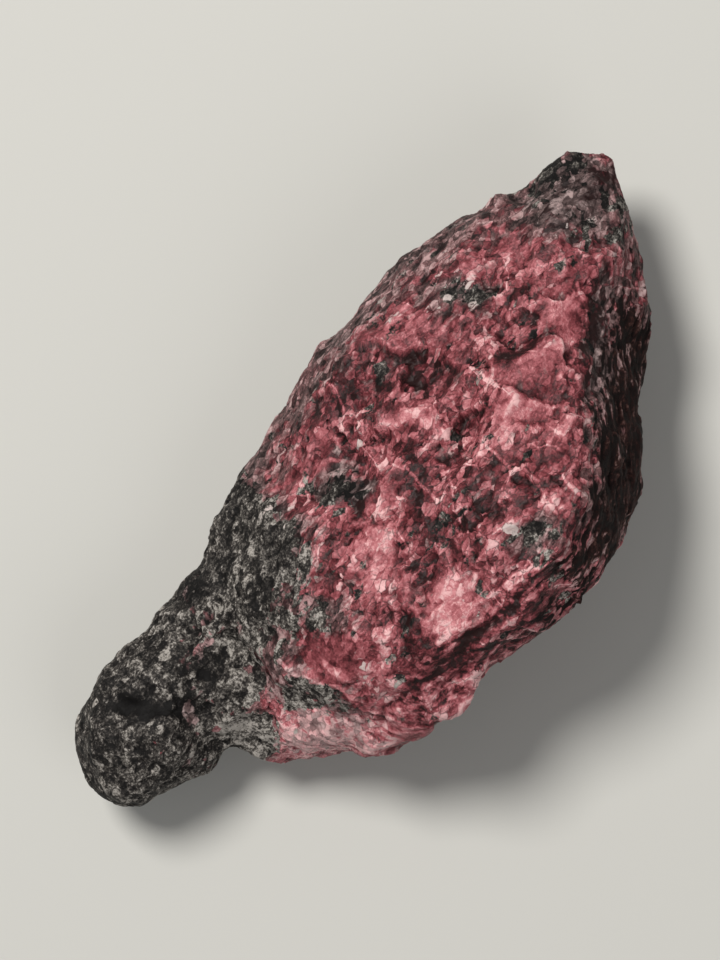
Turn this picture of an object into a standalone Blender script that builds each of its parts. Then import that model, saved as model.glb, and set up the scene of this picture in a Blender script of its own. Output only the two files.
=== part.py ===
"""Rough rhodonite: a raw pink stone with a black manganese-oxide nub at its blunt end.

The stone lies on a flat cleavage face. +Z is up, +X runs along its length from the nub to the tip,
and the origin is on the surface that it rests on, under the middle of its box. It is shaped in
millimetres and set to metres last.
"""

import bmesh
import bpy
import numpy as np
from mathutils import Matrix, Vector, kdtree, noise

NAME = "rhodonite_stone"
MM = 0.001

# Driving dimensions, in millimetres
LENGTH = 50.2
WIDTH = 22.4
HEIGHT = 18.0
SECTION_STEP = 1.0
FORM_VOXEL = 0.55
RELIEF_VOXEL = 0.36
TRIANGLES = 9600
RESTING_BAND = 0.05

# Rails of the pink body as (x, y, z), each from the blunt end to the tip. A section joins the
# rails in this order, from the right foot over the crest to the left foot.
RIGHT_FOOT = [
    (-17.0, 0.5, 3.0), (-15.0, -1.2, 2.0), (-12.0, -3.2, 0.9), (-9.0, -4.0, -0.5),
    (-4.0, -4.6, -1.2), (2.0, -5.0, -1.2), (8.0, -4.8, -1.2), (12.0, -3.6, -0.8),
    (16.0, -1.2, 1.2), (20.0, 1.0, 3.4), (23.5, 2.9, 5.2), (25.0, 4.0, 6.2),
]
RIGHT_WALL_LOW = [
    (-17.0, -0.4, 3.6), (-14.7, -3.6, 3.2), (-12.0, -6.2, 3.4), (-9.7, -7.4, 4.2),
    (-6.4, -8.0, 5.5), (-2.9, -8.4, 6.5), (0.8, -9.8, 7.0), (5.0, -11.7, 7.0),
    (7.5, -12.4, 7.0), (9.7, -12.0, 7.0), (11.9, -10.5, 7.0), (14.4, -8.3, 7.0),
    (16.9, -6.1, 7.2), (20.2, -4.6, 7.4), (22.6, -1.8, 7.6), (25.0, 3.2, 7.5),
]
RIGHT_WALL_HIGH = [
    (-17.0, -0.6, 5.2), (-15.8, -2.8, 5.6), (-14.7, -4.3, 6.4), (-13.6, -5.7, 7.6),
    (-12.4, -7.7, 9.4), (-9.9, -9.8, 12.0), (-8.0, -9.7, 13.0), (-2.9, -9.8, 14.9),
    (0.8, -11.1, 15.2), (2.9, -11.8, 14.6), (5.0, -11.6, 13.8), (7.5, -11.0, 13.0),
    (9.7, -9.2, 12.8), (11.9, -7.4, 12.6), (14.4, -5.2, 12.0), (16.9, -3.4, 11.2),
    (20.2, -1.9, 10.2), (22.6, 0.3, 9.4), (25.0, 3.6, 8.3),
]
CREST = [
    (-17.0, 0.4, 6.2), (-15.6, -1.4, 7.6), (-14.0, -3.2, 9.2), (-12.0, -4.9, 11.4),
    (-9.9, -5.9, 13.8), (-7.2, -6.6, 15.4), (-4.9, -7.1, 16.4), (-2.0, -7.7, 17.2),
    (0.4, -8.0, 17.7), (2.9, -8.7, 18.0), (5.4, -8.7, 18.0), (8.2, -7.7, 17.6),
    (10.8, -5.7, 16.9), (13.5, -3.7, 15.9), (16.2, -1.9, 14.4), (19.0, -0.1, 12.7),
    (21.5, 2.1, 11.2), (23.6, 3.9, 10.0), (25.0, 4.6, 8.8),
]
FACE_MIDDLE = [
    (-17.0, 1.6, 6.4), (-14.0, 0.6, 9.2), (-11.5, 0.0, 11.6), (-8.0, -0.2, 14.0),
    (-3.0, 0.2, 15.2), (3.0, 0.4, 15.4), (8.0, 0.8, 15.2), (13.0, 1.8, 14.0),
    (18.0, 3.2, 12.0), (22.0, 4.2, 10.4), (25.0, 4.9, 8.8),
]
LEFT_SHOULDER = [
    (-17.0, 3.2, 6.0), (-13.0, 5.0, 8.0), (-9.0, 6.6, 9.4), (-5.0, 7.6, 10.0),
    (-2.3, 8.1, 10.2), (2.7, 9.0, 10.4), (8.3, 9.0, 10.6), (13.6, 8.2, 10.6),
    (16.3, 7.5, 10.2), (18.8, 6.7, 9.8), (20.9, 5.6, 9.4), (25.0, 5.0, 8.2),
]
LEFT_EDGE = [
    (-17.0, 3.6, 5.0), (-13.0, 6.5, 6.0), (-10.9, 8.0, 6.2), (-9.1, 9.0, 6.2),
    (-6.8, 10.4, 6.2), (-3.9, 11.1, 6.2), (0.8, 11.6, 6.2), (4.7, 11.7, 6.2),
    (8.1, 10.8, 6.4), (11.7, 10.9, 6.6), (15.3, 10.1, 7.0), (17.4, 9.3, 7.3),
    (19.6, 7.8, 7.6), (21.5, 7.2, 7.7), (23.5, 6.9, 7.8), (25.0, 5.4, 7.6),
]
LEFT_FOOT = [
    (-17.0, 3.0, 3.2), (-14.0, 4.2, 2.2), (-10.0, 4.8, 0.4), (-6.0, 5.0, -0.8),
    (0.0, 5.4, -1.2), (5.0, 5.6, -1.2), (10.0, 5.4, -0.9), (14.0, 5.2, 0.6),
    (18.0, 5.2, 2.6), (22.0, 5.2, 4.8), (25.0, 4.8, 6.4),
]
BODY_RAILS = [
    RIGHT_FOOT, RIGHT_WALL_LOW, RIGHT_WALL_HIGH, CREST,
    FACE_MIDDLE, LEFT_SHOULDER, LEFT_EDGE, LEFT_FOOT,
]

# The nub as oval sections: x, centre y, centre z, half width, half height
NUB_SECTIONS = [
    (-24.8, 4.9, 5.0, 0.9, 1.1), (-24.4, 4.9, 5.0, 1.6, 1.9), (-23.3, 5.3, 5.0, 2.8, 3.0),
    (-22.1, 5.8, 5.1, 3.8, 3.7), (-20.9, 5.9, 5.2, 4.3, 4.1), (-19.0, 5.7, 5.3, 4.5, 4.2),
    (-16.5, 5.6, 5.4, 4.3, 4.0), (-14.0, 5.4, 5.5, 4.2, 3.9), (-11.0, 5.6, 5.7, 3.5, 3.4),
    (-8.0, 5.5, 5.8, 2.7, 3.0),
]
NUB_SIDES = 24

# Small lumps that grew on the stone: centre and radii
LUMPS = [
    ((-15.6, -1.5, 4.4), (1.8, 1.8, 2.4)),   # foot lump beside the nub
    ((23.8, 5.9, 8.8), (1.1, 0.9, 1.1)),     # blunt knob at the tip
    ((24.5, 3.9, 8.0), (1.2, 0.8, 1.1)),     # sharp knob at the tip
    ((19.1, 8.0, 8.2), (0.8, 0.7, 0.8)),     # bump on the left margin
]

# The neck line parts the black nub from the pink body, seen from above.
NECK_START = (-12.3, 7.5)
NECK_END = (-18.8, 2.6)

# Noise vectors hang on this seed, so it is set before any of them.
NOISE_SEED = 1

# Unevenness of the skin as the size and height of its lumps: broad swells, the lumps of the
# oxide crust, and the grain on the pink body and on the crust
SWELLS = (9.0, 0.45)
CRUST_LUMPS = (3.2, 0.42)
GRAIN = (1.3, 0.10)
CRUST_GRAIN = (1.3, 0.22)

# Chips knocked off the sides and the underside: how many, and the radius of each. A chip takes
# what stands above a quantile of its patch, off skin that faces about its own way.
CHIPS = [(12, 6.0), (40, 4.0), (90, 2.6)]
CHIP_QUANTILE = 0.65
CHIP_TILT = 0.15
CHIP_LEAST_COSINE = 0.25
CHIP_FLAT_SHARE = 0.75
CHIPPED_FROM, CHIPPED_TO = -12.5, 21.0
STEEPEST_UNCHIPPED = 0.45

# Cleavage plates: cell size, furthest move, tilt, step up or down. Their borders wander by a
# share of the cell, and cells that wrap round an edge are left as they are.
LARGE_PLATES = (5.6, 0.8, 0.36, 0.28)
SMALL_PLATES = (2.4, 0.6, 0.50, 0.20)
PLATE_STRETCH = 1.4
PLATE_WANDER = 0.22
LEFT_ALONE, FULLY_CLEFT = 0.6, 0.9

# The sides are more worn than the face, so plates move them less.
WORN_SIDES = np.array([0.6, 0.6, 1.0])

# Directions that the plates tilt in, so that many of them run parallel
TILT_FAMILIES = [(0.9, 0.3, 0.3), (-0.3, 0.9, 0.4), (0.5, -0.6, 0.6)]

# Only ground that faces up by this much takes the faces, grooves and ledges below.
UPPER_FROM, UPPER_FULL = 0.15, 0.5

# Single cleavage faces on the upper side, seen from above: centre x, y, half length along x,
# half width, height above or below the ground round them
FACE_WANDER = 0.45
FACE_FLATTENING = 0.85
FACE_FLAT_SHARE = 0.8
FACES = [
    (12.6, -0.9, 2.4, 1.3, 0.4),    # bright face under the crest
    (8.9, -2.1, 2.4, 1.6, 0.25),    # bright face below it
    (5.1, 3.9, 1.7, 1.4, 0.45),     # small bright face in the middle
    (9.2, 4.2, 1.9, 1.6, -0.5),     # dark face sunk beside it
    (-0.6, -1.2, 2.2, 1.8, -0.4),   # dark face sunk in the middle
    (-2.0, -4.9, 2.3, 1.7, -0.2),   # pale face low on the stone
    (-8.9, -1.6, 2.0, 2.9, 0.3),    # smooth face above the recess
    (14.8, 5.0, 2.0, 1.4, -0.25),   # crystal patch near the left margin
]

# Grooves seen from above: half width, depth, route
ROUTE_WANDER = 0.35
GROOVES = [
    (0.75, 0.8, [(-20.1, 8.2), (-19.2, 6.4), (-17.4, 5.0)]),
    (1.0, 1.1, [(-12.3, 7.8), (-14.0, 5.3), (-16.4, 3.9), (-18.0, 2.0)]),
    (0.8, 1.2, [(1.0, 4.8), (-0.2, 3.4), (-2.1, 3.0)]),
    (0.9, 1.0, [(13.2, 3.2), (13.1, 1.6), (14.2, 1.2)]),
    (0.8, 0.6, [(-4.1, -0.4), (-4.4, -2.2), (-4.8, -3.3)]),
    (0.6, 0.7, [(4.9, -0.6), (7.2, 0.9), (9.4, 1.2)]),
    (0.5, 0.5, [(3.4, -7.4), (-0.3, -6.9), (-5.1, -5.6), (-9.6, -5.4)]),
]

# Ledges: depth, run and route. The ground drops on the left of the route and rises again over
# the run.
LEDGE_LIP = 0.4
LEDGES = [
    (1.6, 2.0, [(-10.4, -5.4), (-11.6, -1.9), (-12.2, 0.6), (-11.8, 3.0)]),
]


def clear_scene():
    for obj in list(bpy.data.objects):
        bpy.data.objects.remove(obj, do_unlink=True)


def loft(bm, rings):
    """A closed skin over rings of equal point counts, with a flat cap on each end."""
    rows = [[bm.verts.new(point) for point in ring] for ring in rings]
    count = len(rows[0])
    for row, following in zip(rows, rows[1:]):
        for i in range(count):
            after = (i + 1) % count
            bm.faces.new((row[i], row[after], following[after], following[i]))
    bm.faces.new(rows[0][::-1])
    bm.faces.new(rows[-1])


def body_rings():
    start, end = CREST[0][0], CREST[-1][0]
    stations = np.linspace(start, end, round((end - start) / SECTION_STEP) + 1)
    rails = []
    for rail in BODY_RAILS:
        x, y, z = np.array(rail).T
        rails.append(np.stack([stations, np.interp(stations, x, y), np.interp(stations, x, z)], axis=1))
    return [[rail[i] for rail in rails] for i in range(len(stations))]


def nub_rings():
    turn = np.linspace(0.0, 2.0 * np.pi, NUB_SIDES, endpoint=False)
    rings = []
    for x, y, z, half_width, half_height in NUB_SECTIONS:
        across = y + half_width * np.cos(turn)
        up = z + half_height * np.sin(turn)
        rings.append(np.stack([np.full(NUB_SIDES, x), across, up], axis=1))
    return rings


def add_lump(bm, centre, radii):
    place = Matrix.Translation(centre) @ Matrix.Diagonal((*radii, 1.0))
    bmesh.ops.create_icosphere(bm, subdivisions=3, radius=1.0, matrix=place)


def rough_form():
    """The body, nub and lumps as overlapping closed shapes in one mesh."""
    bm = bmesh.new()
    loft(bm, body_rings())
    loft(bm, nub_rings())
    for centre, radii in LUMPS:
        add_lump(bm, centre, radii)
    bmesh.ops.recalc_face_normals(bm, faces=bm.faces)
    mesh = bpy.data.meshes.new(NAME)
    bm.to_mesh(mesh)
    bm.free()
    stone = bpy.data.objects.new(NAME, mesh)
    bpy.context.scene.collection.objects.link(stone)
    return stone


def apply_modifiers(stone):
    graph = bpy.context.evaluated_depsgraph_get()
    mesh = bpy.data.meshes.new_from_object(stone.evaluated_get(graph))
    stone.modifiers.clear()
    stone.data = mesh


def fuse(stone, voxel, smoothing=0):
    """Makes one skin of all the closed shapes in the mesh."""
    remesh = stone.modifiers.new("fuse", "REMESH")
    remesh.mode = "VOXEL"
    remesh.voxel_size = voxel
    if smoothing:
        smooth = stone.modifiers.new("wear", "SMOOTH")
        smooth.factor = 0.5
        smooth.iterations = smoothing
    apply_modifiers(stone)


def points_of(mesh):
    points = np.empty(len(mesh.vertices) * 3)
    mesh.vertices.foreach_get("co", points)
    return points.reshape(-1, 3)


def normals_of(mesh):
    normals = np.empty(len(mesh.vertices) * 3)
    mesh.vertices.foreach_get("normal", normals)
    return normals.reshape(-1, 3)


def set_points(mesh, points):
    mesh.vertices.foreach_set("co", points.ravel())
    mesh.update()


def smoothstep(low, high, value):
    t = np.clip((value - low) / (high - low), 0.0, 1.0)
    return t * t * (3.0 - 2.0 * t)


def roughen(points, normals, lumps, share):
    """Moves the points in and out by fractal noise of the given size and height."""
    size, height = lumps
    rise = np.array([noise.fractal(Vector(p) / size, 0.7, 2.0, 3) for p in points])
    return points + normals * (height * share * rise)[:, None]


def wander(points, size, reach):
    """The points shifted by noise, to make straight borders ragged."""
    return points + reach * np.array([noise.noise_vector(Vector(p) / size) for p in points])


def nub_side(points):
    """The distance from the neck line seen from above, above 0 on the nub."""
    along = np.subtract(NECK_END, NECK_START)
    along /= np.linalg.norm(along)
    offset = points[:, :2] - NECK_START
    return along[1] * offset[:, 0] - along[0] * offset[:, 1]


def chipped_side(points, normals):
    along = (points[:, 0] > CHIPPED_FROM) & (points[:, 0] < CHIPPED_TO)
    return along & (normals[:, 2] < STEEPEST_UNCHIPPED) & (nub_side(points) < -1.0)


def chip(points, normals, where, seed):
    """Flattens high places to planes, as blows leave a broken stone."""
    rng = np.random.default_rng(seed)
    reachable = np.flatnonzero(where)
    low = points.min(axis=0)
    high = points.max(axis=0)
    for count, radius in CHIPS:
        for spot in rng.uniform(low, high, (count, 3)):
            i = reachable[np.linalg.norm(points[reachable] - spot, axis=1).argmin()]
            away = np.linalg.norm(points - points[i], axis=1)
            near = (away < radius) & (normals @ normals[i] > CHIP_LEAST_COSINE) & where
            facing = normals[near].mean(axis=0) + CHIP_TILT * rng.uniform(-1.0, 1.0, 3)
            facing /= np.linalg.norm(facing)
            height = points[near] @ facing
            cut = np.maximum(height - np.quantile(height, CHIP_QUANTILE), 0.0)
            cut *= 1.0 - smoothstep(CHIP_FLAT_SHARE * radius, radius, away[near])
            points[near] -= cut[:, None] * facing


def nearest_cell(points, centres):
    tree = kdtree.KDTree(len(centres))
    for i, centre in enumerate(centres):
        tree.insert(centre, i)
    tree.balance()
    return np.array([tree.find(p)[1] for p in points])


def cell_means(cell, count, vectors):
    filled = np.maximum(np.bincount(cell, minlength=count), 1)
    sums = [np.bincount(cell, vectors[:, k], count) for k in range(3)]
    return np.stack(sums, axis=1) / filled[:, None]


def cleave(points, normals, plates, seed, share):
    """Moves the points of each cell towards one plane, as cleavage leaves flat plates and steps."""
    size, reach, tilt, step = plates
    rng = np.random.default_rng(seed)
    stretch = np.array([1.0 / PLATE_STRETCH, 1.0, 1.0])
    low = points.min(axis=0) - size
    high = points.max(axis=0) + size
    count = int(np.prod(high - low) / (PLATE_STRETCH * size**3))
    centres = rng.uniform(low, high, (count, 3))
    ragged = wander(points, 0.6 * size, PLATE_WANDER * size)
    cell = nearest_cell(ragged * stretch, centres * stretch)
    middle = cell_means(cell, count, points)
    facing = cell_means(cell, count, normals)
    flatness = np.linalg.norm(facing, axis=1)
    lean = np.array(TILT_FAMILIES)[rng.integers(0, len(TILT_FAMILIES), count)]
    facing += tilt * rng.uniform(-1.0, 1.0, (count, 1)) * lean * flatness[:, None]
    facing /= np.maximum(np.linalg.norm(facing, axis=1), 1e-6)[:, None]
    above = np.einsum("ij,ij->i", points - middle[cell], facing[cell])
    lift = rng.uniform(-step, step, count)[cell]
    held = smoothstep(LEFT_ALONE, FULLY_CLEFT, flatness)[cell] * share
    move = (np.clip(-above, -reach, reach) + lift) * held
    return points + facing[cell] * move[:, None] * WORN_SIDES


def from_route(points, route):
    """Each point's distance from a route seen from above, and whether it is on the route's left."""
    route = np.array(route)
    nearest = np.full(len(points), np.inf)
    left = np.zeros(len(points), bool)
    for start, end in zip(route, route[1:]):
        along = end - start
        offset = points[:, :2] - start
        t = np.clip(offset @ along / (along @ along), 0.0, 1.0)
        gap = np.linalg.norm(offset - t[:, None] * along, axis=1)
        closer = gap < nearest
        side = along[0] * offset[:, 1] - along[1] * offset[:, 0] > 0.0
        left = np.where(closer, side, left)
        nearest = np.minimum(nearest, gap)
    return nearest, left


def lay_faces(points, upper):
    """Flattens the ground inside each of the single faces and lifts or sinks it."""
    ragged = wander(points, 1.8, FACE_WANDER)
    for x, y, half_length, half_width, height in FACES:
        reach = np.hypot((ragged[:, 0] - x) / half_length, (ragged[:, 1] - y) / half_width)
        inside = (reach < 1.0) & (upper > UPPER_FULL)
        middle = points[inside].mean(axis=0)
        facing = np.linalg.svd(points[inside] - middle)[2][2]
        facing *= np.sign(facing[2])
        above = (points - middle) @ facing
        held = (1.0 - smoothstep(FACE_FLAT_SHARE, 1.0, reach)) * upper
        points -= facing * ((FACE_FLATTENING * above - height) * held)[:, None]


def carve(points, upper):
    """Cuts the grooves and ledges into the upper side."""
    ragged = wander(points, 1.6, ROUTE_WANDER)
    drop = np.zeros(len(points))
    for width, depth, route in GROOVES:
        gap, _ = from_route(ragged, route)
        drop += depth * np.exp(-((gap / width) ** 2))
    for depth, run, route in LEDGES:
        gap, left = from_route(ragged, route)
        fall = depth * smoothstep(0.0, LEDGE_LIP, gap) * np.exp(-((gap / run) ** 2))
        drop += np.where(left, fall, 0.0)
    points[:, 2] -= drop * upper


def add_relief(stone):
    points = points_of(stone.data)
    normals = normals_of(stone.data)
    crust = smoothstep(-0.6, 0.8, nub_side(points))
    off_ground = smoothstep(-0.5, 1.5, points[:, 2])
    points = roughen(points, normals, SWELLS, 1.0)
    chip(points, normals, chipped_side(points, normals), 5)
    points = cleave(points, normals, LARGE_PLATES, 11, (1.0 - 0.75 * crust) * off_ground)
    points = cleave(points, normals, SMALL_PLATES, 23, (1.0 - 0.8 * crust) * off_ground)
    upper = smoothstep(UPPER_FROM, UPPER_FULL, normals[:, 2])
    lay_faces(points, upper)
    carve(points, upper)
    points = roughen(points, normals, CRUST_LUMPS, crust)
    points = roughen(points, normals, CRUST_GRAIN, crust)
    points = roughen(points, normals, GRAIN, 1.0 - crust)
    set_points(stone.data, points)


def cut_base(stone):
    """Takes away all below the resting plane and closes it with one flat face."""
    bm = bmesh.new()
    bm.from_mesh(stone.data)
    everything = bm.verts[:] + bm.edges[:] + bm.faces[:]
    bmesh.ops.bisect_plane(bm, geom=everything, plane_co=(0, 0, 0), plane_no=(0, 0, 1), clear_inner=True)
    rim = [edge for edge in bm.edges if edge.is_boundary]
    bmesh.ops.holes_fill(bm, edges=rim, sides=0)
    bmesh.ops.triangulate(bm, faces=bm.faces[:])
    bm.to_mesh(stone.data)
    bm.free()


def thin_out(stone):
    """Spends the triangles on edges and steps, and few on the flat plates."""
    decimate = stone.modifiers.new("thin", "DECIMATE")
    decimate.ratio = TRIANGLES / len(stone.data.polygons)
    apply_modifiers(stone)


def set_size(stone):
    """Fits the stone to its driving dimensions, with its resting face at z = 0, and sets it to metres."""
    points = points_of(stone.data)
    resting = np.abs(points[:, 2]) < RESTING_BAND
    points[resting, 2] = 0.0
    low = points.min(axis=0)
    high = points.max(axis=0)
    middle = np.array([(low[0] + high[0]) / 2, (low[1] + high[1]) / 2, 0.0])
    points = (points - middle) * np.array([LENGTH, WIDTH, HEIGHT]) / (high - low)
    set_points(stone.data, points * MM)


def rhodonite_material():
    material = bpy.data.materials.new("rhodonite")
    material.use_nodes = True
    shader = material.node_tree.nodes["Principled BSDF"]
    shader.inputs["Base Color"].default_value = (0.26, 0.085, 0.10, 1.0)
    shader.inputs["Roughness"].default_value = 0.6
    shader.inputs["Metallic"].default_value = 0.0
    return material


def main():
    clear_scene()
    noise.seed_set(NOISE_SEED)
    stone = rough_form()
    fuse(stone, FORM_VOXEL, smoothing=2)
    add_relief(stone)
    fuse(stone, RELIEF_VOXEL, smoothing=1)
    cut_base(stone)
    thin_out(stone)
    set_size(stone)
    stone.data.materials.append(rhodonite_material())
    stone.data.shade_smooth()
    stone.data.set_sharp_from_angle(angle=np.radians(35.0))


main()
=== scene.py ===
"""Rough rhodonite, dressed: a fine broken skin over the solid, with its mineral colours.

The skin is shaped in millimetres in the stone's own frame (+X from the black nub to the tip, +Z up)
and set to metres last.
"""

import math

import bpy
import numpy as np
from mathutils import Matrix, Vector, kdtree, noise


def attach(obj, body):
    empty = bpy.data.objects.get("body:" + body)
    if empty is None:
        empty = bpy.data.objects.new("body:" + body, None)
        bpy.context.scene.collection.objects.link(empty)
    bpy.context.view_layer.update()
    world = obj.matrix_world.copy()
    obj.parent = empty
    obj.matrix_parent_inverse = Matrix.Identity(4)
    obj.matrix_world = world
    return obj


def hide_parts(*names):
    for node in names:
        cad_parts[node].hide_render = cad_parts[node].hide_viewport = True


MM = 0.001
SKIN_VOXEL = 0.188
SOFTENING = 5
# Set seeds keep the noise and the plates' tones the same in each run.
NOISE_SEED = 1
TONE_SEED = 7

# Heights of the low relief in millimetres
RIDGE_RISE = 0.07
GRAIN_RISE = 0.02
OXIDE_GRAIN_RISE = 0.06
OXIDE_LUMP_RISE = 0.14
OXIDE_PIT_DEPTH = 0.14
LAYER_RISE = 0.13
# The bend in millimetres that counts as a full edge, and as a full bulge once it is averaged
EDGE_BEND = 0.062
BULGE_BEND = 0.019
BULGE_ROUNDS = 6

# Cleavage plates, from large to small: cell size, stretch along x, furthest move, tilt, step, seed
PLATES = [
    (3.4, 1.5, 0.45, 0.34, 0.22, 31),
    (1.6, 1.6, 0.24, 0.34, 0.10, 47),
    (0.70, 1.4, 0.09, 0.32, 0.04, 59),
]

# The neck line parts the black nub from the pink body, seen from above.
NECK_START = (-12.3, 7.5)
NECK_END = (-18.8, 2.6)

# Each patch is seen from above: centre x and y, long and short radius, turn in degrees, strength.
# Black oxide
OXIDE_PATCHES = [
    (-7.0, 5.7, 1.9, 3.0, -143, 1.0),     # pitted ground beside the neck
    (-5.5, 8.7, 1.9, 3.3, 10, 1.0),       # margin beside it
    (-10.6, 4.4, 3.2, 2.4, -53, 0.75),    # below the neck
    (-16.1, -0.2, 1.5, 1.4, -53, 0.9),    # foot lump
    (-9.8, 7.6, 2.8, 1.9, -53, 1.0),      # neck
    (-7.4, 9.6, 1.8, 1.8, 0, 1.0),        # its left margin
    (-17.4, 1.4, 2.2, 1.4, -53, 0.55),    # right end of the neck
    (-14.8, 2.9, 2.6, 1.8, -40, 0.85),    # beside the nub
    (22.4, 5.4, 2.6, 1.7, -22, 0.5),      # tip
    (21.6, 2.0, 1.6, 2.4, -132, 0.45),    # right of the tip
    (-11.8, -1.6, 2.8, 0.9, -67, 0.75),   # recess above the foot
    (13.2, 5.6, 1.8, 0.8, -64, 0.55),     # between the white crystals
    (4.4, -6.7, 1.5, 1.1, -53, 0.5),      # beside the ring crystal
    (-0.4, 4.6, 2.0, 0.9, -45, 0.5),      # crevice
    (-14.3, 4.7, 1.2, 1.1, 0, 0.4),       # dark ground beside the nub
    (-7.2, 0.6, 1.6, 1.2, -53, 0.45),     # speckles above the red face
    (-19.0, 1.2, 1.6, 1.2, -53, 0.7),     # right flank of the nub
]

# Light ground, and dark ground where the strength is below 0. The hollows and crevices are painted
# shade.
TONE_AND_SHADE_PATCHES = [
    (15.8, 0.0, 3.2, 1.0, 37, 0.5),       # crescent under the crest
    (12.1, -0.1, 2.4, 0.8, -30, 0.7),     # its foot
    (9.6, -1.9, 2.9, 2.1, -42, 0.35),     # smooth plate
    (5.5, 3.7, 2.2, 0.9, -42, 1.0),       # star
    (-2.0, -5.2, 2.6, 2.0, -36, 0.75),    # mottled pale plate
    (-2.1, 1.1, 2.2, 1.0, -121, 0.6),     # pale tongue
    (-2.1, 4.3, 1.4, 1.1, -53, 0.5),      # pink grains
    (18.1, 4.6, 2.4, 1.8, -36, 0.2),      # rose ground near the tip
    (-13.4, -3.8, 4.2, 1.9, -59, 1.2),    # dusty flange
    (-8.7, -1.4, 3.1, 1.7, -64, 0.1),     # red face
    (-18.2, 5.7, 3.0, 0.6, -53, -2.4),    # short hollow across the nub, painted shade
    (-11.6, 9.4, 1.2, 1.6, 0, -1.2),      # dark spot at the neck
    (-16.4, 1.8, 2.4, 1.4, -53, 0.6),     # right end of the neck
    (-1.0, 2.9, 1.5, 0.7, 49, -1.6),      # lower arm of the crevice, painted shade
    (-6.4, -3.8, 1.2, 1.0, 0, 0.7),       # pink grains
    (-14.3, 4.7, 1.2, 1.1, 0, -1.2),      # dark ground beside the nub
    (15.6, -2.5, 4.2, 0.9, 38, -0.8),     # dark rim outside the crest
    (2.1, 8.4, 2.6, 1.4, -10, -0.35),     # darker left margin
    (0.0, 1.0, 1.2, 1.0, 0, 0.6),         # pink grains
    (2.9, 3.5, 1.1, 1.0, 0, 0.3),         # pink grains
    (-3.2, -1.2, 1.1, 1.0, 0, 0.6),       # pink grains
    (-5.1, -5.4, 1.3, 1.2, 0, -0.8),      # dark grains
    (9.0, -1.6, 1.2, 1.0, 0, 0.4),        # pink grains
    (-6.7, -7.3, 2.8, 1.1, -11, -0.05),   # bevel
    (-1.8, -8.4, 2.8, 0.9, -11, -0.35),   # bevel
    (12.5, 1.0, 1.5, 0.5, -26, -1.0),     # painted shade in a hollow
    (7.3, 5.7, 2.8, 1.4, -53, -0.4),      # dark ground
    (1.4, -2.2, 2.8, 2.0, -53, -0.35),    # dark facets
    (2.6, 0.7, 1.6, 1.2, -53, -0.7),      # dark ground between the star and the tongue
    (-2.2, -2.6, 1.2, 1.0, -53, -0.4),    # dark ground above the mottled plate
    (5.2, 5.9, 2.6, 1.2, -53, -0.3),      # dark ground above the star
    (7.0, 1.4, 1.1, 0.8, -53, -0.2),      # dark ground beside the star
    (8.6, 7.8, 2.2, 1.4, -20, 0.25),      # pink ground by the left margin
    (2.7, -4.4, 1.3, 1.2, -50, 0.6),      # pink blade beside the ring crystal
    (7.5, -5.7, 1.6, 1.2, -53, 0.5),      # pink ground by the crest
    (-14.6, -2.6, 1.4, 1.2, -59, 0.6),    # bright corner of the flange
    (-12.2, 4.1, 0.9, 0.9, 0, 0.6),       # gray grains below the neck
    (-1.8, 6.6, 2.0, 1.2, -53, 0.9),      # bright rim of the crevice
    (-5.6, 3.4, 1.8, 1.2, -53, 0.2),      # grains below the crevice
    (-12.6, 3.0, 3.6, 2.4, -53, 0.2),     # gray ground beside the nub
    (-8.7, -5.5, 1.7, 1.2, 37, 0.85),     # bright corner of the bevel
    (22.0, 4.2, 3.0, 2.2, -22, -0.8),     # tip
    (-4.9, -2.8, 1.0, 1.7, -143, -0.9),   # painted shade in a hollow
    (-0.4, 4.6, 2.2, 1.0, -45, -0.9),     # painted shade in the crevice
    (-11.0, 0.2, 2.2, 0.5, -86, 0.8),     # pale rim of the red face
    (21.0, 0.8, 2.0, 0.9, 10, 0.4),       # gray grains right of the tip
    (5.5, 3.1, 0.9, 0.5, -42, 0.5),       # bright core of the star
    (11.0, 9.0, 1.8, 1.0, -20, 0.5),      # bright grains in the left margin
]

# Smooth plates, with few small grains
CALM_PATCHES = [
    (15.8, 0.0, 2.8, 1.0, 37, 0.8),       # crescent under the crest
    (12.1, -0.1, 2.2, 1.0, -39, 0.8),     # its foot
    (10.1, -1.7, 2.1, 1.5, -42, 0.8),     # smooth plate
    (5.5, 3.7, 1.8, 0.7, -42, 0.7),       # star
    (-8.7, -1.4, 2.8, 1.5, -64, 0.8),     # red face
    (-13.4, -3.8, 3.4, 1.3, -59, 0.4),    # dusty flange
    (-2.0, -5.2, 2.2, 1.6, -36, 0.8),     # mottled pale plate
    (-2.1, 1.1, 2.0, 1.0, -121, 0.5),     # pale tongue
    (18.1, 4.6, 2.0, 1.4, -36, 0.5),      # rose ground near the tip
]

# White and pale crystals
PALE_PATCHES = [
    (3.9, -5.3, 0.5, 0.42, -53, 2.2),     # ring crystal
    (12.9, 6.1, 2.8, 1.5, -64, 0.55),     # white crystals
    (9.4, 7.0, 2.4, 1.2, -53, 0.35),      # grains beside them
    (20.0, 3.0, 2.2, 1.6, -36, 0.35),     # gray grains by the tip
    (2.2, 5.4, 0.4, 0.5, -53, 1.5),       # pale grain
    (-8.6, -3.2, 0.5, 0.8, -53, 0.9),     # pale grain low on the red face
    (-4.4, 6.6, 1.8, 0.9, -53, 0.5),      # rim of the crevice
]

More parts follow.
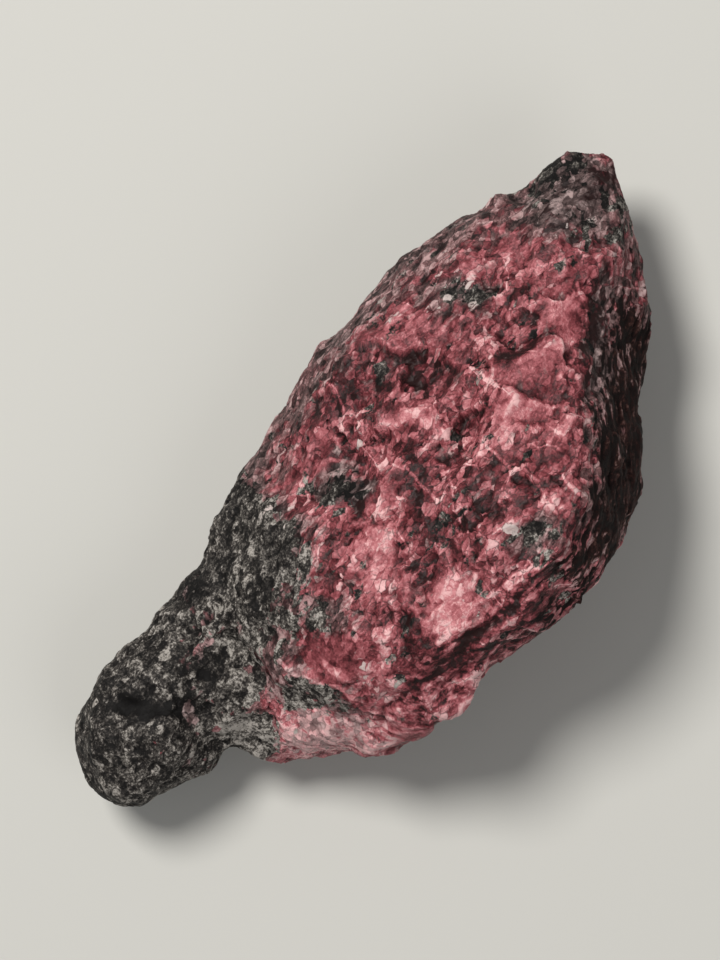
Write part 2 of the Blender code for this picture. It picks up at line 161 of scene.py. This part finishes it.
# A dull gray film over the pink
FILM_PATCHES = [
    (21.0, 4.2, 4.0, 2.8, -22, 0.7),      # tip
    (4.4, -6.7, 2.2, 1.6, -53, 0.8),      # round the ring crystal
    (-7.2, 0.8, 2.2, 1.4, -53, 0.7),      # above the red face
    (-13.4, -3.8, 4.2, 1.8, -59, 0.5),    # dusty flange
    (-12.6, 3.2, 3.8, 2.4, -53, 1.0),     # beside the nub and below the neck
    (-17.0, 1.4, 2.6, 2.0, -53, 0.9),     # right end of the neck
    (12.5, 6.2, 3.0, 1.6, -64, 0.6),      # round the white crystals
    (-4.6, 5.8, 2.4, 1.4, -53, 0.7),      # rim of the crevice
]

# The left margin, seen from above. The film lies along it too.
MARGIN = [(-4.0, 10.2), (3.0, 11.2), (9.0, 10.6), (14.5, 9.6), (19.0, 7.6), (23.0, 5.4)]
MARGIN_WIDTH = 2.2

# The crest, seen from above. The wall to its right is dark: a dark brown crust, deepened with painted
# shade.
CREST = [
    (26.0, 4.4), (22.9, 1.9), (20.0, -0.5), (15.8, -2.8), (12.2, -4.9), (9.0, -7.6), (5.4, -8.9),
    (2.9, -8.7), (0.4, -8.2), (-2.0, -7.9), (-4.9, -7.3), (-7.2, -6.8), (-9.9, -6.1),
]
# A groove runs just inside the crest's lower end, between these places along x. It is dented and also
# painted darker as painted shade.
GROOVE = (-10.0, 4.0)
GROOVE_INSET = 0.35
GROOVE_WIDTH = 0.32
GROOVE_DEPTH = 0.24

# Layers show as fine streaks in the film, on the wall and the sides, and in these patches.
STREAKED_PATCHES = [
    (-6.7, -7.0, 4.4, 2.3, -11, 0.75),    # bevel
    (-1.8, -7.9, 4.4, 2.0, -11, 0.75),    # bevel
    (2.8, -8.2, 3.6, 1.5, 6, 1.0),        # bevel
    (-13.4, -3.8, 4.2, 1.8, -59, 1.0),    # dusty flange
]

# Raised cleavage edges, painted pale along their length as highlights, each as a route seen from
# above
LIT_EDGES = [
    [(5.8, 1.7), (5.9, 0.0)],
    [(6.6, -1.1), (6.4, -2.9)],
    [(2.8, 2.0), (2.3, -0.7)],
    [(8.1, -5.5), (7.9, -7.4)],
    [(6.4, -5.7), (6.1, -7.2)],
    [(10.1, 2.9), (10.0, 0.5)],
    [(17.9, 0.6), (16.1, -1.7)],
    [(0.5, 6.0), (1.1, 4.4)],
    [(-0.1, -6.6), (2.5, -7.6), (4.3, -8.8)],
    [(-11.2, 1.9), (-11.3, -0.2), (-10.3, -2.4), (-10.0, -4.2)],
    [(-1.4, -8.7), (-3.4, -8.8), (-5.2, -9.1), (-6.9, -8.9)],
]
LIT_EDGE_WIDTH = 0.11
LIT_EDGE_RISE = 0.06

# Small bumps and dents, patches with their rise in millimetres as the strength
DENTS = [
    (19.3, 8.3, 1.0, 1.0, 0, 0.50),       # knob in the left margin
    (20.3, 6.9, 0.9, 0.9, 0, -0.65),      # notch beside it
    (-18.2, 5.7, 2.8, 0.5, -53, -0.22),   # short hollow across the nub
    (12.5, 1.0, 1.4, 0.5, -26, -0.22),    # hollow over the crescent's foot
    (-4.8, -2.8, 0.8, 1.2, -143, -0.25),  # hollow
    (-0.4, 4.6, 2.0, 0.6, -45, -0.25),    # crevice
    (-1.0, 2.9, 1.3, 0.5, 49, -0.20),     # its lower arm
    (-5.9, -9.3, 2.6, 1.1, -8, 0.75),     # shoulder of the bevel
    (3.9, -5.3, 0.5, 0.42, -53, 0.20),    # ring crystal
]

# Colours from dark to light, each with its place on the ramp
PINK = [
    (0.05, (0.016, 0.005, 0.005)),
    (0.23, (0.068, 0.013, 0.016)),
    (0.41, (0.185, 0.041, 0.048)),
    (0.57, (0.350, 0.100, 0.112)),
    (0.75, (0.535, 0.205, 0.218)),
    (0.95, (0.760, 0.445, 0.440)),
]
GRAY_FILM = [
    (0.20, (0.016, 0.011, 0.011)),
    (0.50, (0.140, 0.094, 0.090)),
    (0.80, (0.480, 0.365, 0.350)),
]
BLACK_OXIDE = [
    (0.28, (0.0045, 0.0038, 0.0036)),
    (0.48, (0.025, 0.0215, 0.0195)),
    (0.64, (0.094, 0.084, 0.074)),
    (0.86, (0.360, 0.330, 0.297)),
]
# The wall's brown crust, darkened past its own colour as painted shade
BROWN_CRUST_AND_SHADE = [
    (0.30, (0.0040, 0.0010, 0.0008)),
    (0.55, (0.013, 0.0035, 0.0028)),
    (0.74, (0.040, 0.0145, 0.0120)),
    (0.94, (0.130, 0.072, 0.062)),
]
DARK_SEAM = (0.016, 0.008, 0.008, 1.0)
PALE_CRYSTAL = (0.56, 0.47, 0.44, 1.0)
FLOOR_COLOUR = (0.53, 0.522, 0.487, 1.0)

# The camera's turn and lean in degrees, and its lens in millimetres
CAMERA_TURN = -53.0
CAMERA_LEAN = 4.0
CAMERA_LENS = 184.0
# How far it stands from the place it looks at, in metres
CAMERA_DISTANCE = 0.30
LOOK_AT = (0.00027, 0.00415, 0.007)


def vectors_of(mesh, name):
    vectors = np.empty(len(mesh.vertices) * 3)
    mesh.vertices.foreach_get(name, vectors)
    return vectors.reshape(-1, 3)


def set_points(mesh, points):
    mesh.vertices.foreach_set("co", points.ravel())
    mesh.update()


def smoothstep(low, high, value):
    share = np.clip((value - low) / (high - low), 0.0, 1.0)
    return share * share * (3.0 - 2.0 * share)


def fractal(points, size, octaves=3):
    """Fractal noise of about -1 to 1 with lumps of the given size."""
    scaled = points / size
    return np.array([noise.fractal(Vector(point), 0.7, 2.0, octaves) for point in scaled])


def wander(points, size, reach):
    """The points shifted by noise, to make straight borders ragged."""
    scaled = points / size
    return points + reach * np.array([noise.noise_vector(Vector(point)) for point in scaled])


def skin_of(node):
    """A fine, even mesh over the CAD solid, in millimetres, with its facets softened."""
    mesh = node.data.copy()
    mesh.materials.clear()
    mesh.transform(Matrix.Scale(1.0 / MM, 4))
    skin = bpy.data.objects.new("rhodonite_skin", mesh)
    bpy.context.scene.collection.objects.link(skin)
    remesh = skin.modifiers.new("skin", "REMESH")
    remesh.mode = "VOXEL"
    remesh.voxel_size = SKIN_VOXEL
    soften = skin.modifiers.new("soften", "SMOOTH")
    soften.factor = 0.5
    soften.iterations = SOFTENING
    graph = bpy.context.evaluated_depsgraph_get()
    made = bpy.data.meshes.new_from_object(skin.evaluated_get(graph))
    skin.modifiers.clear()
    skin.data = made
    return skin


class Neighbours:
    """Averages a value over each vertex's neighbours along the edges."""

    def __init__(self, mesh):
        ends = np.empty(len(mesh.edges) * 2, np.int64)
        mesh.edges.foreach_get("vertices", ends)
        self.first, self.second = ends.reshape(-1, 2).T
        self.count = len(mesh.vertices)
        self.degree = np.bincount(ends, minlength=self.count)

    def mean(self, values):
        """The mean of the values next to each vertex."""
        if values.ndim > 1:
            return np.stack([self.mean(column) for column in values.T], axis=1)
        total = np.bincount(self.first, values[self.second], self.count)
        total += np.bincount(self.second, values[self.first], self.count)
        return total / self.degree


def cells_of(points, size, stretch, seed):
    """The number of the cell that each point is in, and how many cells there are."""
    draws = np.random.default_rng(seed)
    low = points.min(axis=0) - size
    high = points.max(axis=0) + size
    count = int(np.prod(high - low) / (stretch * size**3))
    squeeze = np.array([1.0 / stretch, 1.0, 1.0])
    tree = kdtree.KDTree(count)
    for number, centre in enumerate(draws.uniform(low, high, (count, 3)) * squeeze):
        tree.insert(centre, number)
    tree.balance()
    ragged = wander(points, 0.6 * size, 0.22 * size) * squeeze
    return np.array([tree.find(point)[1] for point in ragged]), count


def cell_means(cell, count, values):
    """The mean of the values in each cell."""
    if values.ndim > 1:
        return np.stack([cell_means(cell, count, column) for column in values.T], axis=1)
    return np.bincount(cell, values, count) / np.maximum(np.bincount(cell, minlength=count), 1)


def cleave(points, normals, cell, count, plates, share):
    """Moves the points of each cell towards one plane, with a step up or down between cells."""
    _, _, reach, tilt, step, seed = plates
    draws = np.random.default_rng(seed + 1)
    middle = cell_means(cell, count, points)
    facing = cell_means(cell, count, normals)
    flatness = np.linalg.norm(facing, axis=1)
    facing += tilt * draws.uniform(-1.0, 1.0, (count, 3)) * flatness[:, None]
    facing /= np.maximum(np.linalg.norm(facing, axis=1), 1e-6)[:, None]
    above = np.einsum("ij,ij->i", points - middle[cell], facing[cell])
    lift = draws.uniform(-step, step, count)[cell]
    held = smoothstep(0.55, 0.85, flatness)[cell] * share
    move = (np.clip(-above, -reach, reach) + lift) * held
    return points + facing[cell] * move[:, None]


def patch_field(points, patches):
    """The strengths of all patches at each point, seen from above. Each is flat in the middle."""
    total = np.zeros(len(points))
    for x, y, long_radius, short_radius, turn, strength in patches:
        cosine = math.cos(math.radians(turn))
        sine = math.sin(math.radians(turn))
        dx = points[:, 0] - x
        dy = points[:, 1] - y
        along = (dx * cosine + dy * sine) / long_radius
        across = (dy * cosine - dx * sine) / short_radius
        total += strength * np.exp(-((along * along + across * across) ** 2))
    return total


def nub_side(points):
    """The distance from the neck line seen from above, above 0 on the nub."""
    along = np.subtract(NECK_END, NECK_START)
    along /= np.linalg.norm(along)
    offset = points[:, :2] - NECK_START
    return along[1] * offset[:, 0] - along[0] * offset[:, 1]


def gap_to(points, route):
    """Each point's distance from a route seen from above, below 0 on its right."""
    route = np.array(route)
    nearest = np.full(len(points), np.inf)
    side = np.ones(len(points))
    for start, end in zip(route, route[1:]):
        along = end - start
        offset = points[:, :2] - start
        share = np.clip(offset @ along / (along @ along), 0.0, 1.0)
        gap = np.linalg.norm(offset - share[:, None] * along, axis=1)
        turned = np.sign(along[0] * offset[:, 1] - along[1] * offset[:, 0])
        side = np.where(gap < nearest, turned, side)
        nearest = np.minimum(nearest, gap)
    return nearest * side


def store(mesh, name, values):
    attribute = mesh.attributes.new(name, "FLOAT", "POINT")
    attribute.data.foreach_set("value", values.astype(np.float32))


def lie_of_layers(points):
    """Coordinates that follow the layers: slow along them, and full size across them."""
    points = wander(points, 7.0, 1.3)
    left = gap_to(points, MARGIN)
    right = gap_to(points, CREST)
    share = smoothstep(-4.0, 4.0, right - left)
    across = left + share * (right - left)
    return np.stack([0.36 * points[:, 0], across, points[:, 2] + 0.16 * points[:, 0]], axis=1)


def masks_of(points, normals):
    """How much of each mineral and finish, and of the painted light and shade, lies at each point,
    mostly from 0 to 1.
    """
    upper = smoothstep(-0.1, 0.45, normals[:, 2])
    rough = fractal(points, 2.2)
    ragged = wander(points, 1.6, 0.7)
    masks = {}

    # The dark wall below the crest: a dark crust, made darker still as painted shade
    x = points[:, 0]
    z = points[:, 2]
    facing_right = smoothstep(0.0, 0.4, -normals[:, 1])
    patchy = fractal(points, 5.0, 2)
    outside = gap_to(points, CREST) + 0.45 * rough
    wall = 0.75 * smoothstep(-0.9, 0.4, outside) + 0.35 * smoothstep(0.3, 1.6, outside)
    wall *= 0.22 + 0.78 * smoothstep(-3.0, 8.0, x + 4.0 * patchy)
    # Darker from x 22 down to 17 mm, and again from 16 down to 9 mm: painted shade on the wall
    wall *= 0.65 + 0.35 * smoothstep(22.0, 17.0, x) + 0.15 * smoothstep(16.0, 9.0, x)
    low = smoothstep(10.0, 5.0, z + 5.0 * patchy) * facing_right
    masks["wall"] = np.minimum(wall, 1.1) * (1.0 - 0.7 * low)

    # The dull film, and the streaks of the layers
    margin = 0.9 * np.exp(-((gap_to(ragged, MARGIN) / MARGIN_WIDTH) ** 2))
    crestward = 0.5 * smoothstep(-1.4, 0.0, outside) * smoothstep(3.0, 8.0, x)
    film = np.maximum.reduce([margin, crestward, patch_field(ragged, FILM_PATCHES) * upper])
    streaked = patch_field(points, STREAKED_PATCHES) * upper + film + 0.6 * masks["wall"]
    streaked += 0.55 * (1.0 - upper)
    masks["streak"] = np.clip(streaked, 0.0, 1.0)

    # Black oxide, with the film round its border
    nub = smoothstep(-1.7, 1.3, nub_side(points) + 0.5 * rough)
    patches = patch_field(ragged, OXIDE_PATCHES) * smoothstep(-0.7, 0.1, normals[:, 2])
    under = 0.8 * smoothstep(0.2, -0.5, normals[:, 2]) * smoothstep(-0.2, 0.5, fractal(points, 6.0))
    oxide = np.maximum.reduce([nub, patches, under * (1.0 - masks["wall"])]) + 0.10 * rough
    partly = np.clip(oxide, 0.0, 1.0)
    masks["oxide"] = oxide
    masks["film"] = np.clip(np.maximum(film, 3.2 * partly * (1.0 - partly)), 0.0, 1.0)

    # The groove, painted darker later as painted shade, and the thin pale edges, painted as
    # highlights
    along = smoothstep(GROOVE[0] - 1.0, GROOVE[0] + 1.0, x)
    along *= smoothstep(GROOVE[1] + 1.0, GROOVE[1] - 1.0, x)
    inset = gap_to(wander(points, 2.0, 0.5), CREST) + GROOVE_INSET
    masks["groove"] = along * np.exp(-((inset / GROOVE_WIDTH) ** 2))
    bowed = wander(points, 2.0, 0.25)
    gaps = [np.abs(gap_to(bowed, route)) for route in LIT_EDGES]
    masks["lit_edge"] = np.minimum.reduce(gaps) + 2.0 * (1.0 - upper)

    # Light and dark ground with painted shade in hollows, pale crystals and smooth plates
    masks["tone_and_shade"] = patch_field(ragged, TONE_AND_SHADE_PATCHES) * upper
    masks["pale"] = patch_field(bowed, PALE_PATCHES) * upper
    smooth_ground = 0.6 * smoothstep(0.05, 0.55, fractal(points, 4.5))
    calm = np.maximum(patch_field(points, CALM_PATCHES) * upper, smooth_ground)
    masks["calm"] = np.clip(calm, 0.0, 1.0)
    return masks


def break_skin(skin):
    """Gives the skin its plates, layers, ridges and grain, and stores what its colours need."""
    mesh = skin.data
    near = Neighbours(mesh)
    points = vectors_of(mesh, "co")
    normals = vectors_of(mesh, "normal")
    draws = np.random.default_rng(TONE_SEED)
    layers = lie_of_layers(points)
    masks = masks_of(points, normals)
    off_ground = smoothstep(0.15, 0.9, points[:, 2])
    oxide = np.clip(masks["oxide"], 0.0, 1.0)
    calm = masks["calm"]
    streak = masks["streak"]

    tone_and_shade = masks["tone_and_shade"]
    plate_tone = np.zeros(len(points))
    for plates in PLATES:
        size, stretch, _, _, _, seed = plates
        cell, count = cells_of(points, size, stretch, seed)
        share = (1.0 - 0.75 * oxide) * (1.0 - 0.75 * streak) * off_ground
        if size < 2.0:
            share = share * (1.0 - 0.85 * calm)
        points = cleave(points, normals, cell, count, plates, share)
        shade = 0.55 * cell_means(cell, count, tone_and_shade) + 0.30 * draws.uniform(-1.0, 1.0, count)
        plate_tone += shade[cell] * (0.6 if size > 0.7 else 0.35)

    # Low relief on the plates
    lines = fractal(wander(points, 6.0, 1.5) * np.array([1.0, 0.30, 0.5]), 2.6, 1)
    shown = smoothstep(0.05, 0.30, fractal(points, 3.5, 2)) * (1.0 - oxide) * off_ground
    ridges = smoothstep(0.06, 0.0, np.abs(lines)) * shown
    rise = RIDGE_RISE * ridges
    grain = (GRAIN_RISE + OXIDE_GRAIN_RISE * oxide) * (1.0 - 0.7 * calm)
    rise += grain * fractal(points, 0.9) * off_ground
    rise += OXIDE_LUMP_RISE * oxide * fractal(points, 1.9) * off_ground
    rise += LAYER_RISE * streak * (1.0 - oxide) * fractal(layers, 0.55, 2) * off_ground
    rise -= GROOVE_DEPTH * masks["groove"]
    rise += LIT_EDGE_RISE * smoothstep(2.0 * LIT_EDGE_WIDTH, 0.0, masks["lit_edge"])
    rise += patch_field(points, DENTS) * smoothstep(-0.3, 0.3, normals[:, 2]) * off_ground
    pits = smoothstep(0.25, 0.6, fractal(points, 0.75, 2)) * oxide * off_ground
    rise -= OXIDE_PIT_DEPTH * pits
    points = points + normals * rise[:, None]
    points[:, 2] = np.maximum(points[:, 2], 0.0)
    set_points(mesh, points)

    # Edges and bulges of the finished skin, for painted highlights on rims and bulges and painted
    # shade in creases and hollows
    normals = vectors_of(mesh, "normal")
    bend = np.einsum("ij,ij->i", points - near.mean(points), normals)
    bend = near.mean(bend) * 0.5 + bend * 0.5
    wide = bend
    for _ in range(BULGE_ROUNDS):
        wide = near.mean(wide)
    bulge_light_and_shade = np.clip(wide / BULGE_BEND, -1.0, 1.0)

    # Painted light on bulges, and painted shade in hollows and along the groove
    masks["tone_and_shade"] = 0.55 * tone_and_shade + plate_tone + 0.40 * bulge_light_and_shade - 0.8 * masks.pop("groove")
    masks["edge"] = np.clip(bend / EDGE_BEND, -1.0, 1.0)
    masks["line"] = lines
    masks["line_shown"] = shown
    for name, values in masks.items():
        store(mesh, name, values)
    placed = mesh.attributes.new("layers", "FLOAT_VECTOR", "POINT")
    placed.data.foreach_set("vector", layers.astype(np.float32).ravel())


class Shader:
    """Makes the nodes of one material."""

    def __init__(self, name):
        self.material = bpy.data.materials.new(name)
        self.material.use_nodes = True
        self.tree = self.material.node_tree
        self.surface = self.tree.nodes["Principled BSDF"]

    def feed(self, socket, value):
        if isinstance(value, bpy.types.NodeSocket):
            self.tree.links.new(value, socket)
        else:
            socket.default_value = value

    def node(self, kind, inputs=(), **settings):
        made = self.tree.nodes.new("ShaderNode" + kind)
        for key, value in settings.items():
            setattr(made, key, value)
        for key, value in dict(inputs).items():
            self.feed(made.inputs[key], value)
        return made

    def attribute(self, name):
        return self.node("Attribute", attribute_name=name).outputs["Fac"]

    def math(self, operation, a, b=0.0, clamp=False):
        made = self.node("Math", {0: a, 1: b}, operation=operation, use_clamp=clamp)
        return made.outputs[0]

    def total(self, *terms):
        """The sum of value and weight pairs."""
        result = 0.0
        for value, weight in terms:
            result = self.math("ADD", self.math("MULTIPLY", value, weight), result)
        return result

    def between(self, value, low, high):
        """0 below low and 1 above high."""
        made = self.node(
            "MapRange",
            {"Value": value, "From Min": low, "From Max": high},
            interpolation_type="SMOOTHSTEP",
        )
        return made.outputs["Result"]

    def ramp(self, factor, stops):
        """A colour from the stops, each a place from 0 to 1 and its colour."""
        made = self.node("ValToRGB", {"Fac": factor})
        elements = made.color_ramp.elements
        elements[0].position = stops[0][0]
        elements[0].color = (*stops[0][1], 1.0)
        elements[1].position = stops[-1][0]
        elements[1].color = (*stops[-1][1], 1.0)
        for position, colour in stops[1:-1]:
            elements.new(position).color = (*colour, 1.0)
        return made.outputs["Color"]

    def mix(self, factor, a, b):
        # The sockets for colours come after those for numbers and vectors.
        made = self.node("Mix", data_type="RGBA")
        self.feed(made.inputs[0], factor)
        self.feed(made.inputs[6], a)
        self.feed(made.inputs[7], b)
        return made.outputs[2]

    def noise(self, coordinates, scale, detail=3.0, rough=0.6):
        inputs = {"Vector": coordinates, "Scale": scale, "Detail": detail, "Roughness": rough}
        return self.node("TexNoise", inputs).outputs["Fac"]

    def vector(self, operation, a, b):
        return self.node("VectorMath", {0: a, 1: b}, operation=operation).outputs[0]

    def scaled(self, value, factor):
        return self.node("VectorMath", {0: value, "Scale": factor}, operation="SCALE").outputs[0]

    def voronoi(self, coordinates, scale, feature="F1"):
        return self.node("TexVoronoi", {"Vector": coordinates, "Scale": scale}, feature=feature)

    def grains(self, coordinates, scale):
        """Cells with three random numbers each and a facet that slopes."""
        cells = self.voronoi(coordinates, scale)
        split = self.node("SeparateColor", {"Color": cells.outputs["Color"]})
        lean = self.vector("SUBTRACT", cells.outputs["Color"], (0.5, 0.5, 0.5))
        offset = self.vector("SUBTRACT", coordinates, cells.outputs["Position"])
        slope = self.node("VectorMath", {0: offset, 1: lean}, operation="DOT_PRODUCT")
        return {
            "red": split.outputs[0],
            "green": split.outputs[1],
            "blue": split.outputs[2],
            "slope": slope.outputs["Value"],
        }


def rhodonite():
    shader = Shader("rhodonite")
    place = shader.node("TexCoord").outputs["Object"]
    place = shader.scaled(place, 1.0 / MM)
    drift = shader.node("TexNoise", {"Vector": place, "Scale": 1.4, "Detail": 2.0}).outputs["Color"]
    bent = shader.vector("ADD", place, shader.scaled(drift, 0.6))
    flat = shader.vector("MULTIPLY", bent, (0.62, 1.0, 1.0))
    layers = shader.node("Attribute", attribute_name="layers").outputs["Vector"]
    layers = shader.vector("ADD", layers, shader.scaled(drift, 0.2))

    # Variation from large to small
    cloud = shader.noise(place, 0.35, detail=1.0)
    fine = shader.noise(bent, 2.6, rough=0.7)
    dust = shader.noise(place, 7.0, detail=2.0, rough=0.7)
    streaks = shader.noise(layers, 2.2, detail=2.0, rough=0.65)
    small = shader.grains(flat, 2.4)
    large = shader.grains(flat, 1.05)
    kind = shader.total((small["red"], 0.45), (large["red"], 0.55))
    gaps = shader.voronoi(flat, 2.4, "DISTANCE_TO_EDGE").outputs["Distance"]
    border = shader.math("SUBTRACT", 1.0, shader.between(gaps, 0.02, 0.11))

    # What the skin stores, and thin lines painted as highlights
    oxide = shader.attribute("oxide")
    tone_and_shade = shader.attribute("tone_and_shade")
    # Painted highlights on rims and painted shade in creases, in each colour below
    edge = shader.attribute("edge")
    film = shader.attribute("film")
    pale = shader.attribute("pale")
    calm = shader.attribute("calm")
    wall = shader.attribute("wall")
    streaked = shader.attribute("streak")
    # A thin painted highlight along the crest of each ridge
    line = shader.math("ABSOLUTE", shader.attribute("line"))
    line = shader.math("SUBTRACT", 1.0, shader.between(line, 0.004, 0.024))
    line = shader.math("MULTIPLY", line, shader.attribute("line_shown"))
    # The raised cleavage edges, made paler as a painted highlight
    lit_edge = shader.between(shader.attribute("lit_edge"), 0.5 * LIT_EDGE_WIDTH, 1.6 * LIT_EDGE_WIDTH)
    lit_edge = shader.math("SUBTRACT", 1.0, lit_edge)
    busy = shader.total((calm, -0.70), (1.0, 1.0))
    layered = shader.math("MULTIPLY", streaked, shader.total((streaks, 1.0), (1.0, -0.5)))
    sparkle = shader.math("MULTIPLY", shader.between(small["blue"], 0.80, 0.88), busy)
    fibre = shader.math("ABSOLUTE", shader.total((streaks, 1.0), (1.0, -0.5)))
    fibre = shader.math("SUBTRACT", 1.0, shader.between(fibre, 0.004, 0.020))
    fibre = shader.math("MULTIPLY", fibre, shader.between(cloud, 0.45, 0.55))

    # The pink body with its gray film and dark seams
    small_tone = shader.math("MULTIPLY", small["green"], busy)
    large_tone = shader.math("MULTIPLY", large["green"], busy)
    level = shader.total(
        (tone_and_shade, 0.40), (edge, 0.26), (small_tone, 0.40), (large_tone, 0.26), (calm, 0.12),
        (fine, 0.60), (dust, 0.44), (cloud, 0.20), (line, 0.26), (layered, 1.7), (sparkle, 0.22),
        (film, -0.18), (fibre, 0.14), (lit_edge, 0.28), (1.0, -0.555),
    )
    pink = shader.ramp(level, PINK)
    level = shader.total(
        (streaks, 0.8), (fine, 0.5), (small["green"], 0.45), (edge, 0.20), (dust, 0.6),
        (1.0, -0.71),
    )
    gray = shader.ramp(level, GRAY_FILM)
    filmy = shader.between(
        shader.total((film, 0.60), (streaks, 0.75), (small["blue"], 0.35), (edge, -0.15)), 0.70, 0.96,
    )
    body = shader.mix(shader.math("MULTIPLY", filmy, 0.7), pink, gray)
    dark = shader.math("MULTIPLY", border, shader.between(fine, 0.42, 0.56))
    dark = shader.math("MULTIPLY", dark, shader.math("MULTIPLY", busy, busy))
    body = shader.mix(shader.math("MULTIPLY", dark, 0.65), body, DARK_SEAM)

    # Black oxide over it
    level = shader.total(
        (fine, 1.1), (dust, 1.0), (streaks, 0.5), (edge, 0.22), (small["green"], 0.30),
        (tone_and_shade, 0.25), (sparkle, 0.12), (1.0, -0.965),
    )
    soot = shader.ramp(level, BLACK_OXIDE)
    spread = shader.total(
        (oxide, 0.95), (cloud, 0.25), (edge, -0.12), (fine, -0.35), (calm, -0.2), (1.0, 0.20),
    )
    covered = shader.between(shader.math("SUBTRACT", spread, kind), -0.03, 0.05)
    colour = shader.mix(covered, body, soot)

    # The brown crust of the wall, darker than the crust's own colour as painted shade
    deep = shader.total(
        (wall, 0.95), (streaks, -1.50), (fine, -0.50), (small["blue"], -0.25), (1.0, 0.45),
    )
    deep = shader.between(deep, -0.06, 0.18)
    level = shader.total(
        (streaks, 1.3), (fine, 0.8), (dust, 0.7), (small["green"], 0.35), (edge, 0.40),
        (sparkle, 0.15), (1.0, -1.10),
    )
    crust_and_shade = shader.ramp(level, BROWN_CRUST_AND_SHADE)
    colour = shader.mix(deep, colour, crust_and_shade)

    # Pale crystals
    specks = shader.total(
        (pale, 0.55), (small["blue"], 0.8), (dust, 0.4), (edge, 0.08), (oxide, 0.03),
    )
    inner = shader.between(gaps, 0.03, 0.14)
    inner = shader.math("MAXIMUM", inner, shader.between(pale, 0.8, 1.3))
    specks = shader.math("MULTIPLY", shader.between(specks, 1.12, 1.20), inner)
    clear = shader.total((fine, 1.2), (1.0, 0.2))
    specks = shader.math("MULTIPLY", specks, clear, clamp=True)
    colour = shader.mix(specks, colour, PALE_CRYSTAL)
    shader.feed(shader.surface.inputs["Base Color"], colour)
    shader.surface.inputs["Specular IOR Level"].default_value = 0.18

    # Shine, and the facets of single grains
    roughness = shader.total(
        (covered, 0.22), (fine, 0.25), (filmy, 0.12), (deep, 0.25), (1.0, 0.38),
    )
    shader.feed(shader.surface.inputs["Roughness"], roughness)
    facets = shader.total((small["slope"], 0.45), (large["slope"], 0.50))
    height = shader.total((shader.math("MULTIPLY", facets, busy), 1.0), (fine, 0.08))
    bump = shader.node("Bump", {"Height": height, "Strength": 0.8, "Distance": MM})
    shader.feed(shader.surface.inputs["Normal"], bump.outputs["Normal"])
    return shader.material


def dress(frame):
    node = frame["nodes"]["rhodonite_stone"]
    skin = skin_of(node)
    break_skin(skin)
    skin.data.transform(Matrix.Scale(MM, 4))
    skin.data.shade_smooth()
    skin.data.materials.append(rhodonite())
    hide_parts("rhodonite_stone")
    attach(skin, "root")


def add_floor():
    bpy.ops.mesh.primitive_plane_add(size=1.0)
    floor = bpy.context.object
    floor.name = "floor"
    shader = Shader("floor")
    shader.surface.inputs["Base Color"].default_value = FLOOR_COLOUR
    shader.surface.inputs["Roughness"].default_value = 0.75
    floor.data.materials.append(shader.material)


def add_light(name, place, size, power, colour):
    lamp = bpy.data.lights.new(name, "AREA")
    lamp.shape = "DISK"
    lamp.size = size
    lamp.energy = power
    lamp.color = colour
    light = bpy.data.objects.new(name, lamp)
    light.location = place
    light.rotation_mode = "QUATERNION"
    light.rotation_quaternion = Vector(place).to_track_quat("Z", "Y")
    bpy.context.scene.collection.objects.link(light)


def light_scene():
    world = bpy.data.worlds.new("studio")
    world.use_nodes = True
    glow = world.node_tree.nodes["Background"].inputs
    glow["Color"].default_value = (0.95, 0.97, 1.0, 1.0)
    glow["Strength"].default_value = 0.22
    bpy.context.scene.world = world
    add_light(
        "key", place=(0.05, 0.22, 0.42), size=0.16, power=2.3, colour=(1.0, 0.985, 0.96),
    )
    add_light(
        "fill", place=(-0.05, -0.30, 0.30), size=0.30, power=0.35, colour=(1.0, 1.0, 1.0),
    )


def add_camera():
    """Looks straight down, a little from the right, as the stone was photographed."""
    camera = bpy.data.objects.new("camera", bpy.data.cameras.new("camera"))
    turn = Matrix.Rotation(math.radians(CAMERA_TURN), 4, "Z")
    lean = Matrix.Rotation(math.radians(CAMERA_LEAN), 4, "Y")
    back = Matrix.Translation((0.0, 0.0, CAMERA_DISTANCE))
    camera.matrix_world = Matrix.Translation(LOOK_AT) @ turn @ lean @ back
    camera.data.lens = CAMERA_LENS
    camera.data.clip_start = 0.01
    bpy.context.scene.collection.objects.link(camera)
    bpy.context.scene.camera = camera


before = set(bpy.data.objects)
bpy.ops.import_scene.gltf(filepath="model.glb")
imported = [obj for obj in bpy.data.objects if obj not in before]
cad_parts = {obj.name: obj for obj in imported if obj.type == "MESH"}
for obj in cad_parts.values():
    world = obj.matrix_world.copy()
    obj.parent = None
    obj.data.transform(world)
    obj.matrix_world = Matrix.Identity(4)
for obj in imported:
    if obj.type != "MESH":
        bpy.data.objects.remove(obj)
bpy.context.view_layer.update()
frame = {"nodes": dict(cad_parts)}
noise.seed_set(NOISE_SEED)
dress(frame)
add_floor()
light_scene()
add_camera()
bpy.context.scene.view_settings.view_transform = "Standard"
